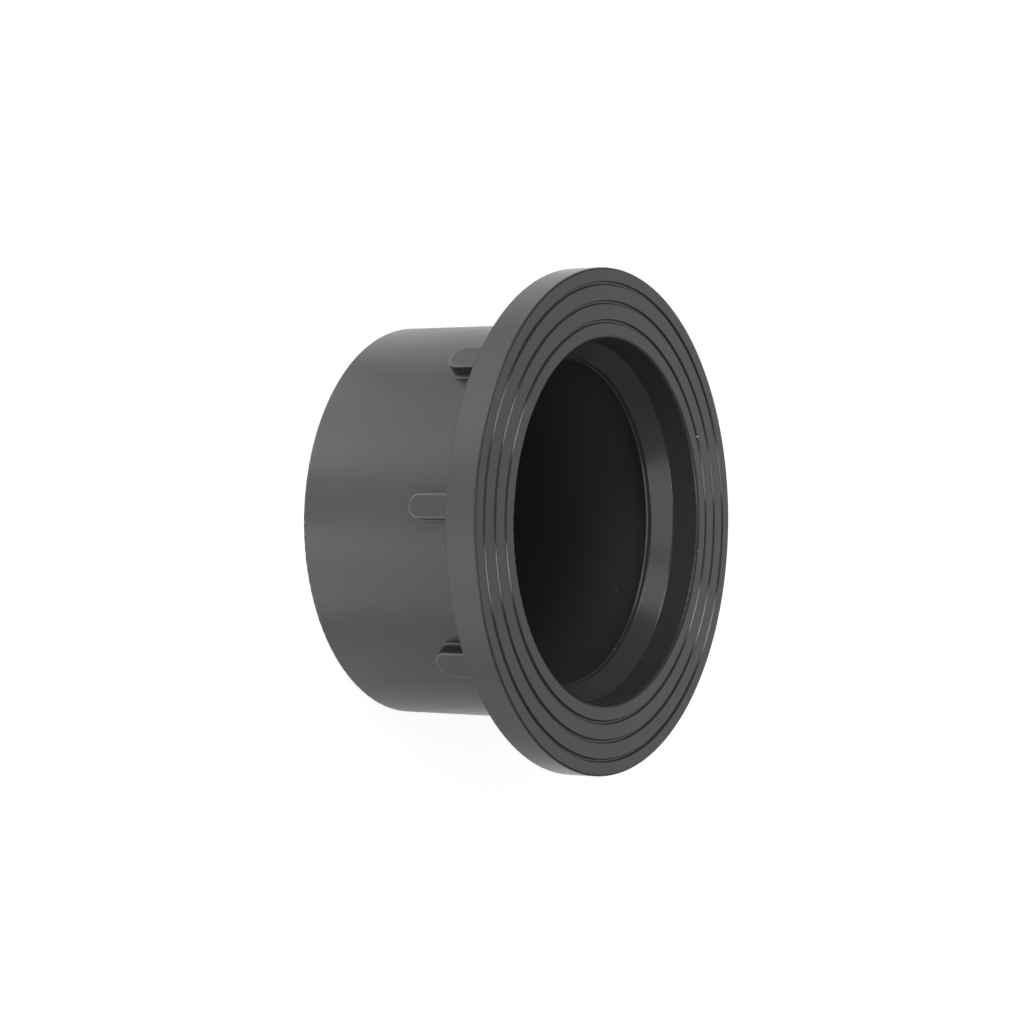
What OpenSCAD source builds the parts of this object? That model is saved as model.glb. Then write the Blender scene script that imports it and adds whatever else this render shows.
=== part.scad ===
// Stub end for a loose backing ring, moulded in one piece. It stands on the end of its hub, with the
// gasket face up: the pipe goes into the hub from below, up to the stop under the flared opening.

/* [Collar] */
// Diameter of the collar
collar_d = 158; // [150:0.5:170]
// Thickness of the collar
collar_t = 10.6; // [8:0.1:14]
// Radius of the collar's two outer edges
collar_edge_r = 0.7; // [0.2:0.1:1.5]

/* [Gasket grooves] */
// Number of grooves in the gasket face
groove_count = 3; // [2:1:4]
// Width of a groove at the face
groove_w = 1.3; // [0.9:0.1:1.8]
// Depth of a groove
groove_depth = 0.7; // [0.4:0.05:1]
// Width of a groove's floor, between its sloping walls
groove_floor = 0.6; // [0.4:0.05:0.8]
// Radius of a groove's edges at the face
groove_edge_r = 0.15; // [0.05:0.05:0.25]
// Land from the collar's edge to the middle of the outermost groove
outer_land = 4.9; // [3:0.1:6]
// Land from the middle of the innermost groove to the opening
inner_land = 5.1; // [3:0.1:6]

/* [Hub] */
// Diameter of the pipe that is cemented into the hub
pipe_d = 110; // [100:1:115]
// Play of the pipe in its socket, on the diameter
pipe_play = 0.3; // [0.1:0.05:0.6]
// Depth of the socket, from the hub's end to the pipe stop
socket_depth = 57; // [45:0.1:75]
// Width of the chamfer at the socket's mouth
lead_in = 1.5; // [0.5:0.1:3]
// Wall of the hub
hub_wall = 6.85; // [5:0.05:8]
// Radius of the outer edge at the hub's end
hub_edge_r = 0.8; // [0.2:0.1:1.5]
// Fillet between the hub and the back of the collar
root_r = 1; // [0.4:0.1:2]

/* [Pipe stop] */
// Height of the stop's shoulder inside the socket
stop_h = 4.45; // [2.5:0.05:6]
// Length of the land on the stop's crest
stop_land = 1.2; // [0.6:0.1:3]
// Bead at the foot of the crest, where the two cores of the mould meet
stop_bead = 0.35; // [0.2:0.05:0.6]
// Length of the cone that leads from the opening down to the crest
stop_cone_len = 5.3; // [3:0.1:8]
// Radius of the crest's edge below the cone
crest_edge_r = 0.6; // [0.2:0.1:1]
// Fillet between the stop's shoulder and the socket's wall
shoulder_r = 0.2; // [0.1:0.05:0.3]

/* [Opening] */
// Step from the socket's wall out to the opening at the gasket face
opening_step = 2.05; // [1:0.05:3]
// Depth of the opening's wall
opening_depth = 9; // [5:0.1:10]
// Draft of the opening's wall, in degrees
opening_draft = 5; // [2:0.5:10]
// Radius of the opening's edge at the gasket face
opening_edge_r = 0.9; // [0.2:0.1:1.5]
// Fillet between the opening's wall and the cone
opening_foot_fillet = 1; // [0.3:0.1:2]

/* [Centring ribs] */
// Number of ribs around the hub, narrow and wide ones in turn
rib_count = 8; // [4:2:12]
// Width of a narrow rib, as on the X and Y axes
rib_w = 7.6; // [5:0.1:10]
// Width of a wide rib, between two narrow ones
wide_rib_w = 9.8; // [7:0.1:12]
// Height of a rib above the hub
rib_h = 4.25; // [3:0.05:6]
// Length of a rib, from the back of the collar to its round end
rib_len = 22; // [12:0.1:30]
// Radius along a rib's top edge
rib_edge_r = 0.7; // [0.3:0.1:1.6]
// Fillet along a rib's foot
rib_foot_r = 0.6; // [0.3:0.1:1]

/* [Hidden] */
$fn = 192;

// Overlap that a rounded corner's cut reaches past the edges it rounds
skin = 0.05;
// How far the rounding circle reaches over those edges, so that it meets them without a sliver between
hair = 0.00005;

collar_r = collar_d / 2;
socket_r = (pipe_d + pipe_play) / 2;
hub_r = socket_r + hub_wall;
stop_r = socket_r - stop_h;
crest_r = stop_r + stop_bead;
opening_r = socket_r + opening_step;
opening_foot_r = opening_r - opening_depth * tan(opening_draft);

// Heights above the hub's end
bead_z = socket_depth + stop_bead;
land_z = bead_z + stop_bead;
cone_z = land_z + stop_land;
opening_z = cone_z + stop_cone_len;
face_z = opening_z + opening_depth;
back_z = face_z - collar_t;

outer_groove_r = collar_r - outer_land;
groove_pitch = (outer_groove_r - opening_r - inner_land) / (groove_count - 1);
groove_floor_r = groove_floor / 2;

rib_top_x = hub_r + rib_h;
rib_root_x = hub_r - hub_wall / 2;

function unit(v) = v / norm(v);

// The space between a corner and an arc that rounds it, with the corner between points before and after
module corner_wedge(before, corner, after, r) {
    to_before = unit(before - corner);
    to_after = unit(after - corner);
    middle = unit(to_before + to_after);
    half_angle = acos(to_before * to_after) / 2;
    reach = r / tan(half_angle);
    centre = corner + middle * r / sin(half_angle);
    touch_before = corner + to_before * reach;
    touch_after = corner + to_after * reach;
    difference() {
        polygon([
            corner - middle * skin / sin(half_angle),
            touch_before + unit(touch_before - centre) * skin,
            centre,
            touch_after + unit(touch_after - centre) * skin
        ]);
        translate(centre) circle(r + hair);
    }
}

// A polygon of [x, y, radius] corners, listed anticlockwise: convex corners are cut, hollow ones filled
module rounded_polygon(corners) {
    count = len(corners);
    points = [for (c = corners) [c[0], c[1]]];
    function before(i) = points[(i + count - 1) % count];
    function after(i) = points[(i + 1) % count];
    function turns_left(i) = cross(points[i] - before(i), after(i) - points[i]) > 0;
    module wedges(convex) {
        for (i = [0 : count - 1])
            if (corners[i][2] > 0 && turns_left(i) == convex)
                corner_wedge(before(i), points[i], after(i), corners[i][2]);
    }
    difference() {
        union() {
            polygon(points);
            wedges(convex = false);
        }
        wedges(convex = true);
    }
}

// Corners of one groove in the face, from its outer edge to its inner one
function groove_corners(r) = [
    [r + groove_w / 2, face_z, groove_edge_r],
    [r + groove_floor / 2, face_z - groove_depth, groove_floor_r],
    [r - groove_floor / 2, face_z - groove_depth, groove_floor_r],
    [r - groove_w / 2, face_z, groove_edge_r]
];

// Half section of hub, collar, grooves, opening and pipe stop, to the right of the axis
module wall_section() {
    hub_and_collar = [
        [socket_r + lead_in, 0, 0],
        [hub_r, 0, hub_edge_r],
        [hub_r, back_z, root_r],
        [collar_r, back_z, collar_edge_r],
        [collar_r, face_z, collar_edge_r]
    ];
    grooves = [
        for (i = [0 : groove_count - 1])
            each groove_corners(outer_groove_r - i * groove_pitch)
    ];
    opening_and_stop = [
        [opening_r, face_z, opening_edge_r],
        [opening_foot_r, opening_z, opening_foot_fillet],
        [crest_r, cone_z, crest_edge_r],
        [crest_r, land_z, 0],
        [stop_r, bead_z, 0],
        [stop_r, socket_depth, 0],
        [socket_r, socket_depth, shoulder_r],
        [socket_r, lead_in, 0]
    ];
    rounded_polygon(concat(hub_and_collar, grooves, opening_and_stop));
}

// Distance from the middle of a rib to the toe of its foot fillet
function rib_toe(w) = w / 2 + rib_foot_r;

// Half of a rib's section: x is the distance from the hub's axis, y the one from the middle of the rib.
// Its foot is as high as the hub's round wall at the toe of the fillet.
module rib_half_section(w) {
    foot_x = sqrt(hub_r ^ 2 - rib_toe(w) ^ 2);
    rounded_polygon([
        [rib_root_x, 0, 0],
        [rib_top_x, 0, 0],
        [rib_top_x, w / 2, rib_edge_r],
        [foot_x, w / 2, rib_foot_r],
        [foot_x, rib_toe(w) + rib_foot_r, 0],
        [rib_root_x, rib_toe(w) + rib_foot_r, 0]
    ]);
}

// One rib on the +X side of the hub: a straight bar up into the collar, with a round lower end
module rib(w) {
    end_z = back_z - rib_len + rib_toe(w);
    translate([0, 0, end_z])
        linear_extrude(back_z + collar_t / 2 - end_z) {
            rib_half_section(w);
            mirror([0, 1]) rib_half_section(w);
        }
    translate([0, 0, end_z])
        rotate([0, 90, 0])
        rotate_extrude()
        mirror([1, -1]) rib_half_section(w);
}

module stub_end() {
    color("#464645") {
        rotate_extrude() wall_section();
        for (i = [0 : rib_count - 1])
            rotate(i * 360 / rib_count) rib(i % 2 == 0 ? rib_w : wide_rib_w);
    }
}

stub_end();
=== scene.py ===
"""Grey plastic stub end for a loose backing ring, standing on its hub on a white floor."""
import math

import bmesh
import bpy
from mathutils import Matrix, Vector


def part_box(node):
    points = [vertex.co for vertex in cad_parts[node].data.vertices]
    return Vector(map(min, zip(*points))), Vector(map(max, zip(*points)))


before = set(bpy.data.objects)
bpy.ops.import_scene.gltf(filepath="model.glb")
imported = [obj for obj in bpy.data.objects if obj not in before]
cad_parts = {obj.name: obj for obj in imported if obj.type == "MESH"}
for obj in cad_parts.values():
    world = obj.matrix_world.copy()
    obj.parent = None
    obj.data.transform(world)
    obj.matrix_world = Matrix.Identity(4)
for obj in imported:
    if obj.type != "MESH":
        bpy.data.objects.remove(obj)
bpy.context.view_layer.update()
scene = bpy.context.scene
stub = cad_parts["stub_end"]

# Sizes of the part in millimetres, with heights above the hub's end. The crest of the pipe stop reaches
# from STOP_Z to CREST_Z, and the cone from there to FOOT_Z, the foot of the opening's wall.
MM = 0.001
highest_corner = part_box("stub_end")[1]
COLLAR_R = highest_corner.x / MM
FACE_Z = highest_corner.z / MM
COLLAR_T = 10.6
BACK_Z = FACE_Z - COLLAR_T
GROOVE_DEPTH = 0.7
GROOVE_FLOOR_Z = FACE_Z - GROOVE_DEPTH
OPENING_R = 57.2
FOOT_Z = 64.2
CREST_Z = 59.0
STOP_Z = 57.0
HUB_R = 62.0
RIB_COUNT = 8
RIB_W = 7.6
WIDE_RIB_W = 9.8
RIB_H = 4.25
RIB_TOP = HUB_R + RIB_H
RIB_LENGTH = 22.0
RIB_END_Z = BACK_Z - RIB_LENGTH
RIB_FOOT_R = 0.6

# The camera of the photograph, fitted to the collar, its grooves and the hub, with the azimuth in degrees
AXIS_TO_VIEW = math.radians(58.2)
VIEW_AZIMUTH = 3.91
VIEW_ROLL = math.radians(0.404)
CAMERA_DISTANCE = 11.125 * COLLAR_R * MM
IMAGE_PX = 1024
FOCAL_PX = 2827.5
FACE_CENTRE_PX = (611.2, 521.4)
SENSOR_MM = 36
CLIP_START = 0.01

# The white floor, and a round of black felt on it that closes the hub's mouth and paints shade into the
# hub's inside, with sizes in metres
FLOOR_RADIUS = 6.0
FLOOR_DROP = 0.0001
FLOOR_GREY = 0.8
SHADE_PAD_RADIUS = (HUB_R - 0.5) * MM
SHADE_PAD_DROP = 0.00005
SHADE_FELT_GREY = 0.01
DISC_SEGMENTS = 96

# How bright the white surroundings are: for the camera, in reflections, and as light on the part
WHITE = (1, 1, 1, 1)
FLOOR_SEEN = 0.8
FLOOR_SHEEN = 0.48
ROOM_SEEN = 1.0
ROOM_SHEEN = 0.1
ROOM_FILL = 0.03

# Beside the hub the floor's sheen is stronger by this share: distances in metres where it starts and is full
NEAR_SHEEN = 0.2
NEAR_BORDER = (0.11, 0.033)

# Brighter patches of the floor's sheen: azimuth and spread to each side in degrees, strength
SHEEN_PATCHES = [
    (-150, 35, 0.7),
    (-100, 30, 0.38),
    (-48, 34, 0.95),
    (-9, 48, 0.65),
    (31, 32, 0.85),
    (64, 35, 0.3),
    (150, 35, 0.2),
    (180, 60, 0.42),
]

# Soft lamps at one distance: azimuth and elevation in degrees, width and height in metres, watts
LAMP_DISTANCE = 1.1
LAMPS = {
    "low_lamp": (-26, 6, 0.5, 0.4, 0.6),
    "near_lamp": (-47, 22, 0.5, 0.25, 2.1),
    "far_lamp": (29, 22, 0.45, 0.25, 1.7),
    "tall_lamp": (-56, 42, 0.45, 1.0, 2.3),
    "high_lamp": (20, 63, 0.8, 0.5, 1.8),
    "side_lamp": (34, 38, 0.5, 0.5, 0.6),
    "back_lamp": (184, 30, 0.7, 0.6, 0.85),
}

# Small flaws seen in the photograph: distance from the axis, angle, height, size, strength
DUST = [
    (63.0, 120.3, 73.0, 0.55, 1.0),
    (57.9, 84.4, 73.15, 0.35, 0.6),
    (68.9, -24.9, 73.1, 0.30, 0.4),
    (64.2, -120.1, 73.2, 0.40, 0.4),
    (55.15, 69.7, 46.4, 0.35, 0.4),
    (50.95, 40.0, 57.5, 0.30, 0.4),
]
PITS = [
    (62.0, -152.4, 41.0, 1.2, 1.0),
]
# Share of a flaw's size over which it is at full strength
FLAW_CORE = 0.4

# Borders of the finishes and of the painted highlight and shade in millimetres: where a mask starts, and
# where it is full
FACE_ABOVE = (GROOVE_FLOOR_Z - 0.3, GROOVE_FLOOR_Z)
BELOW_FACE = (FACE_Z - 0.02, FACE_Z - 0.12)
FRONT_ABOVE = (STOP_Z - 1.0, STOP_Z)
FRONT_WITHIN = (COLLAR_R - 0.1, COLLAR_R - 0.4)
CONE_ABOVE = (CREST_Z, CREST_Z + 0.6)
CONE_BELOW = (FOOT_Z, FOOT_Z - 0.6)
OPENING_EDGE_ABOVE = (FACE_Z - 1.2, FACE_Z - 1.0)
OPENING_EDGE_WITHIN = (OPENING_R + 1.0, OPENING_R + 0.8)
BACK_EDGE_BELOW = (BACK_Z + 0.8, BACK_Z + 0.5)
BACK_EDGE_OUTSIDE = (COLLAR_R - 1.2, COLLAR_R - 0.9)
HUB_OUTSIDE = (HUB_R - 1.0, HUB_R - 0.5)
RIB_BELOW = (BACK_Z - 0.1, BACK_Z - 0.4)
RIB_EDGE_OUTSIDE = (RIB_TOP - 0.65, RIB_TOP - 0.3)
RIB_WALL_OUTSIDE = (HUB_R + 0.5, HUB_R + 1.0)
# The same, counted from a rib's outline, with the rib's inside below zero
RIB_EDGE_BESIDE = (-0.85, -0.5)
RIB_WALL_BESIDE = (-0.15, -0.05)

# Noises of the finish: scale to the millimetre, and detail
CLOUDS = (1 / 28, 3.0)
SPECKLE = (1 / 0.9, 1.0)
GRAIN = (1 / 0.35, 1.0)
STREAKS = (0.9, 3.0)
RINGS = (2.2, 2.0)
# The streaks are drawn out along the axis, and the rings change little on their way round it
STREAK_STRETCH = (1, 1, 0.02)
RING_TURN = (0.8, 0.8, 0)

# The plastic's two tones, and what is laid over them: share, and colour. Dust is lighter and pits darker;
# the light colour along the ribs' top edge is a painted highlight, and the dark colours on the ribs' sides
# and on the collar's back edge are painted shade.
PVC_DARK = (0.0550, 0.0525, 0.0497, 1)
PVC_LIGHT = (0.0650, 0.0622, 0.0588, 1)
TINTS_AND_PAINTED_LIGHT = {
    # painted highlight along the ribs' top edge
    "rib_edge_highlights": (0.8, (0.150, 0.148, 0.144, 1)),
    # painted shade on the ribs' sides
    "shaded_rib_walls": (0.9, (0.010, 0.0098, 0.0095, 1)),
    # painted shade on the collar's back edge
    "shaded_back_edge": (0.5, (0.030, 0.029, 0.028, 1)),
    "dust": (1.0, (0.55, 0.55, 0.54, 1)),
    "pits": (0.6, (0.02, 0.02, 0.02, 1)),
}

# A plain value and what each mask adds to it: mix of the two tones, roughness, and relief in millimetres
EVEN_MIX = 0.5
TONE = {"clouds": 0.35, "speckle": 0.15, "streaks": 0.10}
SATIN = 0.33
ROUGHNESS = {
    "clouds": 0.04,
    "speckle": 0.03,
    "rings": 0.03,
    "shaded_rib_walls": 0.6,
    "shaded_back_edge": 0.4,
    "front": -0.10,
    "hollows": -0.05,
    "opening_edge": 0.06,
}
FLAT = 0.0
RELIEF = {"grain": 0.0010, "streaks": 0.006, "rings": 0.0015, "dust": 0.03, "pits": -0.12}
PVC_IOR = 1.5

# Sockets of a Mix node that mixes colours
MIX_FACTOR = 0
MIX_FIRST = 6
MIX_SECOND = 7
MIX_RESULT = 2


class Nodes:
    """Short calls that add nodes to one tree and give back their outputs."""

    def __init__(self, tree):
        self.tree = tree

    def add(self, kind, inputs=None, **settings):
        """A node of that kind, itself and not an output, with its settings made and its inputs fed."""
        node = self.tree.nodes.new(kind)
        for name, value in settings.items():
            setattr(node, name, value)
        for name, value in (inputs or {}).items():
            self.feed(node.inputs[name], value)
        return node

    def feed(self, socket, value):
        if isinstance(value, bpy.types.NodeSocket):
            self.tree.links.new(value, socket)
        else:
            socket.default_value = value

    def math(self, operation, *values):
        return self.add("ShaderNodeMath", dict(enumerate(values)), operation=operation).outputs["Value"]

    def times(self, first, second):
        return self.math("MULTIPLY", first, second)

    def vector_math(self, operation, values):
        return self.add("ShaderNodeVectorMath", dict(enumerate(values)), operation=operation).outputs

    def vector(self, operation, *values):
        """A vector worked out from vectors."""
        return self.vector_math(operation, values)["Vector"]

    def measure(self, operation, *values):
        """A number worked out from vectors, such as a length."""
        return self.vector_math(operation, values)["Value"]

    def sides(self, vector):
        """The X, Y and Z of a vector."""
        return self.add("ShaderNodeSeparateXYZ", {"Vector": vector}).outputs

    def joined(self, **sides):
        """A vector from its X, Y and Z, with zero for each that isn't given."""
        return self.add("ShaderNodeCombineXYZ", sides).outputs["Vector"]

    def fade(self, value, start, end):
        """0 before start, 1 after end, with a soft change between them."""
        limits = {"Value": value, "From Min": start, "From Max": end}
        return self.add("ShaderNodeMapRange", limits, interpolation_type="SMOOTHSTEP").outputs["Result"]

    def swing(self, vector, scale, detail):
        """Noise that swings from -1 to 1."""
        noise = self.add("ShaderNodeTexNoise", {"Vector": vector, "Scale": scale, "Detail": detail})
        return self.math("MULTIPLY_ADD", noise.outputs["Fac"], 2.0, -1.0)

    def summed(self, plain, masks, amounts):
        """A plain value, with an amount of each named mask added."""
        total = plain
        for name, amount in amounts.items():
            total = self.math("MULTIPLY_ADD", masks[name], amount, total)
        return total

    def mix_colour(self, factor, first, second):
        inputs = {MIX_FACTOR: factor, MIX_FIRST: first, MIX_SECOND: second}
        return self.add("ShaderNodeMix", inputs, data_type="RGBA").outputs[MIX_RESULT]


def direction(azimuth, elevation=0.0):
    """Unit vector to a place around the part. Azimuth 0 is in front, along -Y, and 90 along +X."""
    a, e = math.radians(azimuth), math.radians(elevation)
    return Vector((math.sin(a) * math.cos(e), -math.cos(a) * math.cos(e), math.sin(e)))


def make_camera():
    """Looks down on the gasket face, with the part's axis pointing right in the picture."""
    axis = Vector((0, 0, 1))
    near_side = direction(VIEW_AZIMUTH)
    back = math.cos(AXIS_TO_VIEW) * axis + math.sin(AXIS_TO_VIEW) * near_side
    level_right = math.sin(AXIS_TO_VIEW) * axis - math.cos(AXIS_TO_VIEW) * near_side
    level_up = back.cross(level_right)
    right = math.cos(VIEW_ROLL) * level_right + math.sin(VIEW_ROLL) * level_up
    up = back.cross(right)

    centre_px = (IMAGE_PX - 1) / 2
    offset_right = (FACE_CENTRE_PX[0] - centre_px) / FOCAL_PX
    offset_up = (centre_px - FACE_CENTRE_PX[1]) / FOCAL_PX
    sight = offset_right * right + offset_up * up - back

    data = bpy.data.cameras.new("camera")
    data.sensor_width = SENSOR_MM
    data.lens = FOCAL_PX / IMAGE_PX * SENSOR_MM
    data.clip_start = CLIP_START
    camera = bpy.data.objects.new("camera", data)
    camera.matrix_world = Matrix((right, up, back)).transposed().to_4x4()
    camera.location = Vector((0, 0, FACE_Z * MM)) - CAMERA_DISTANCE * sight
    scene.collection.objects.link(camera)
    scene.camera = camera


def flat_disc(name, radius, height, material):
    """A round sheet that lies flat and isn't part of the object."""
    bm = bmesh.new()
    bmesh.ops.create_circle(bm, cap_ends=True, segments=DISC_SEGMENTS, radius=radius)
    bmesh.ops.translate(bm, verts=bm.verts, vec=(0, 0, height))
    mesh = bpy.data.meshes.new(name)
    bm.to_mesh(mesh)
    bm.free()
    mesh.materials.append(material)
    disc = bpy.data.objects.new(name, mesh)
    scene.collection.objects.link(disc)


def plain_material(name, grey):
    """A dull grey without shine, for the floor and for the felt that paints shade into the hub."""
    material = bpy.data.materials.new(name)
    material.use_nodes = True
    shader = material.node_tree.nodes["Principled BSDF"]
    shader.inputs["Base Color"].default_value = (grey, grey, grey, 1)
    shader.inputs["Roughness"].default_value = 1.0
    shader.inputs["Specular IOR Level"].default_value = 0.0
    return material


def seen_in_mirror(n, path):
    """1 for what is seen in a reflection or through glass."""
    return n.math("MAXIMUM", path.outputs["Is Glossy Ray"], path.outputs["Is Transmission Ray"])


def floor_material():
    """White floor, seen brighter than it is lit, so that of the lamps' light only the shadow shows."""
    material = plain_material("white_floor", FLOOR_GREY)
    n = Nodes(material.node_tree)

    # the patches lie around a point halfway between the axis and the hub's near side
    middle = HUB_R * MM / 2 * direction(VIEW_AZIMUTH)
    centred = n.vector("SUBTRACT", n.add("ShaderNodeTexCoord").outputs["Object"], middle)
    outward = n.vector("NORMALIZE", centred)
    sheen = FLOOR_SHEEN
    for azimuth, spread, strength in SHEEN_PATCHES:
        facing = n.measure("DOT_PRODUCT", outward, direction(azimuth))
        patch = n.fade(facing, math.cos(math.radians(spread)), 1.0)
        sheen = n.math("MULTIPLY_ADD", patch, strength, sheen)
    beside_hub = n.fade(n.measure("LENGTH", centred), *NEAR_BORDER)
    sheen = n.times(sheen, n.math("MULTIPLY_ADD", beside_hub, NEAR_SHEEN, 1.0))

    path = n.add("ShaderNodeLightPath")
    seen = n.times(path.outputs["Is Camera Ray"], FLOOR_SEEN)
    shader = material.node_tree.nodes["Principled BSDF"]
    shader.inputs["Emission Color"].default_value = WHITE
    n.feed(shader.inputs["Emission Strength"], n.math("MULTIPLY_ADD", seen_in_mirror(n, path), sheen, seen))
    return material


def at_polar(radius, angle, height):
    a = math.radians(angle)
    return radius * math.cos(a), radius * math.sin(a), height


def spots(n, place, flaws):
    """A mask of small round flaws on the surface."""
    mask = 0.0
    for radius, angle, height, size, strength in flaws:
        distance = n.measure("DISTANCE", place, at_polar(radius, angle, height))
        mask = n.math("MAXIMUM", mask, n.times(n.fade(distance, size, FLAW_CORE * size), strength))
    return mask


def rib_masks(n, place, radius, height):
    """Masks of the ribs' top edge, where a highlight is painted, and of their dull sides, where shade is
    painted, from the distance to a rib's outline.
    """
    sides = n.sides(place)
    angle = n.math("ARCTAN2", sides["Y"], sides["X"])
    half_step = math.pi / RIB_COUNT
    off_middle = n.math("WRAP", angle, half_step, -half_step)
    across = n.times(radius, n.math("SINE", off_middle))
    outward = n.times(radius, n.math("COSINE", off_middle))

    # every second rib is a wide one, and the lower end of each is round
    wide = n.math("LESS_THAN", n.math("COSINE", n.times(angle, RIB_COUNT / 2)), 0.0)
    half_width = n.math("MULTIPLY_ADD", wide, (WIDE_RIB_W - RIB_W) / 2, RIB_W / 2)
    round_end = n.math("ADD", half_width, RIB_END_Z + RIB_FOOT_R)
    past_end = n.math("MAXIMUM", n.math("SUBTRACT", round_end, height), 0.0)
    beside = n.math("SUBTRACT", n.measure("LENGTH", n.joined(X=across, Y=past_end)), half_width)

    below_collar = n.fade(height, *RIB_BELOW)
    edge_highlights = n.times(n.fade(beside, *RIB_EDGE_BESIDE), n.fade(outward, *RIB_EDGE_OUTSIDE))
    shaded_walls = n.times(n.fade(beside, *RIB_WALL_BESIDE), n.fade(outward, *RIB_WALL_OUTSIDE))
    shaded_walls = n.times(shaded_walls, n.math("SUBTRACT", 1.0, edge_highlights))
    return n.times(edge_highlights, below_collar), n.times(shaded_walls, below_collar)


def finish_and_painted_light_masks(n, place):
    """Where the plastic's finish differs and where highlight and shade are painted: over the whole part, on
    its faces and along each edge, and at its flaws.
    """
    height = n.sides(place)["Z"]
    across = n.vector("MULTIPLY", place, (1, 1, 0))
    radius = n.measure("LENGTH", across)

    # cloudy flow of the plastic, a finer speckle, and the grain of its skin
    masks = {
        "clouds": n.swing(place, *CLOUDS),
        "speckle": n.swing(place, *SPECKLE),
        "grain": n.swing(place, *GRAIN),
    }

    # the outside of the hub was drawn from the mould, and the gasket face was turned
    on_hub = n.fade(radius, *HUB_OUTSIDE)
    masks["streaks"] = n.times(n.swing(n.vector("MULTIPLY", place, STREAK_STRETCH), *STREAKS), on_hub)
    on_face = n.fade(height, *FACE_ABOVE)
    turn = n.vector("MULTIPLY", n.vector("NORMALIZE", across), RING_TURN)
    masks["rings"] = n.times(n.swing(n.vector("ADD", turn, n.joined(Z=radius)), *RINGS), on_face)

    # the front is shinier, still more in its hollows, less on the opening's edge, and the cone is no hollow
    masks["front"] = n.times(n.fade(height, *FRONT_ABOVE), n.fade(radius, *FRONT_WITHIN))
    near_opening = n.fade(radius, *OPENING_EDGE_WITHIN)
    masks["opening_edge"] = n.times(near_opening, n.fade(height, *OPENING_EDGE_ABOVE))
    on_cone = n.times(n.fade(height, *CONE_ABOVE), n.fade(height, *CONE_BELOW))
    no_hollow = n.math("MAXIMUM", on_cone, masks["opening_edge"])
    hollow = n.math("SUBTRACT", n.fade(height, *BELOW_FACE), no_hollow)
    masks["hollows"] = n.times(masks["front"], hollow)

    # the collar's back edge and the ribs' sides are dull and have painted shade, and a highlight is painted
    # along the ribs' top edge
    masks["shaded_back_edge"] = n.times(n.fade(radius, *BACK_EDGE_OUTSIDE), n.fade(height, *BACK_EDGE_BELOW))
    masks["rib_edge_highlights"], masks["shaded_rib_walls"] = rib_masks(n, place, radius, height)

    masks["dust"] = spots(n, place, DUST)
    masks["pits"] = spots(n, place, PITS)
    return masks


def grey_pvc():
    """Satin grey PVC as it comes from the mould, with a turned gasket face, a little dust, a painted
    highlight along the ribs' top edge and painted shade on their sides and on the collar's back edge.
    """
    material = bpy.data.materials.new("grey_pvc")
    material.use_nodes = True
    n = Nodes(material.node_tree)
    shader = material.node_tree.nodes["Principled BSDF"]
    metres = n.add("ShaderNodeTexCoord").outputs["Object"]
    masks = finish_and_painted_light_masks(n, n.vector("MULTIPLY", metres, (1 / MM, 1 / MM, 1 / MM)))

    colour = n.mix_colour(n.summed(EVEN_MIX, masks, TONE), PVC_DARK, PVC_LIGHT)
    for name, (share, overlay) in TINTS_AND_PAINTED_LIGHT.items():
        colour = n.mix_colour(n.times(masks[name], share), colour, overlay)
    n.feed(shader.inputs["Base Color"], colour)
    n.feed(shader.inputs["Roughness"], n.summed(SATIN, masks, ROUGHNESS))
    relief = n.summed(FLAT, masks, RELIEF)
    bump = n.add("ShaderNodeBump", {"Height": relief, "Distance": MM, "Strength": 1.0})
    n.feed(shader.inputs["Normal"], bump.outputs["Normal"])
    shader.inputs["IOR"].default_value = PVC_IOR
    return material


def add_lamp(name, azimuth, elevation, width, height, power):
    """A soft lamp that shines on the middle of the part."""
    data = bpy.data.lights.new(name, "AREA")
    data.shape = "RECTANGLE"
    data.size = width
    data.size_y = height
    data.energy = power
    lamp = bpy.data.objects.new(name, data)
    back = direction(azimuth, elevation)
    lamp.location = Vector((0, 0, FACE_Z * MM / 2)) + LAMP_DISTANCE * back
    lamp.rotation_euler = back.to_track_quat("Z", "Y").to_euler()
    lamp.visible_camera = False
    scene.collection.objects.link(lamp)


def make_room():
    """White to the camera, duller in reflections, and hardly a light on the part."""
    world = bpy.data.worlds.new("room")
    scene.world = world
    world.use_nodes = True
    n = Nodes(world.node_tree)
    path = n.add("ShaderNodeLightPath")
    seen = n.math("MULTIPLY_ADD", path.outputs["Is Camera Ray"], ROOM_SEEN, ROOM_FILL)
    background = world.node_tree.nodes["Background"]
    background.inputs["Color"].default_value = WHITE
    n.feed(background.inputs["Strength"], n.math("MULTIPLY_ADD", seen_in_mirror(n, path), ROOM_SHEEN, seen))


make_camera()
flat_disc("floor", FLOOR_RADIUS, -FLOOR_DROP, floor_material())
# the black felt under the hub's mouth is painted shade: a dark sheet that keeps the hub's inside dark
flat_disc("shade_pad", SHADE_PAD_RADIUS, -SHADE_PAD_DROP, plain_material("painted_shade_felt", SHADE_FELT_GREY))
stub.material_slots[0].material = grey_pvc()
for lamp_name, lamp_sizes in LAMPS.items():
    add_lamp(lamp_name, *lamp_sizes)
make_room()
scene.view_settings.view_transform = "Standard"
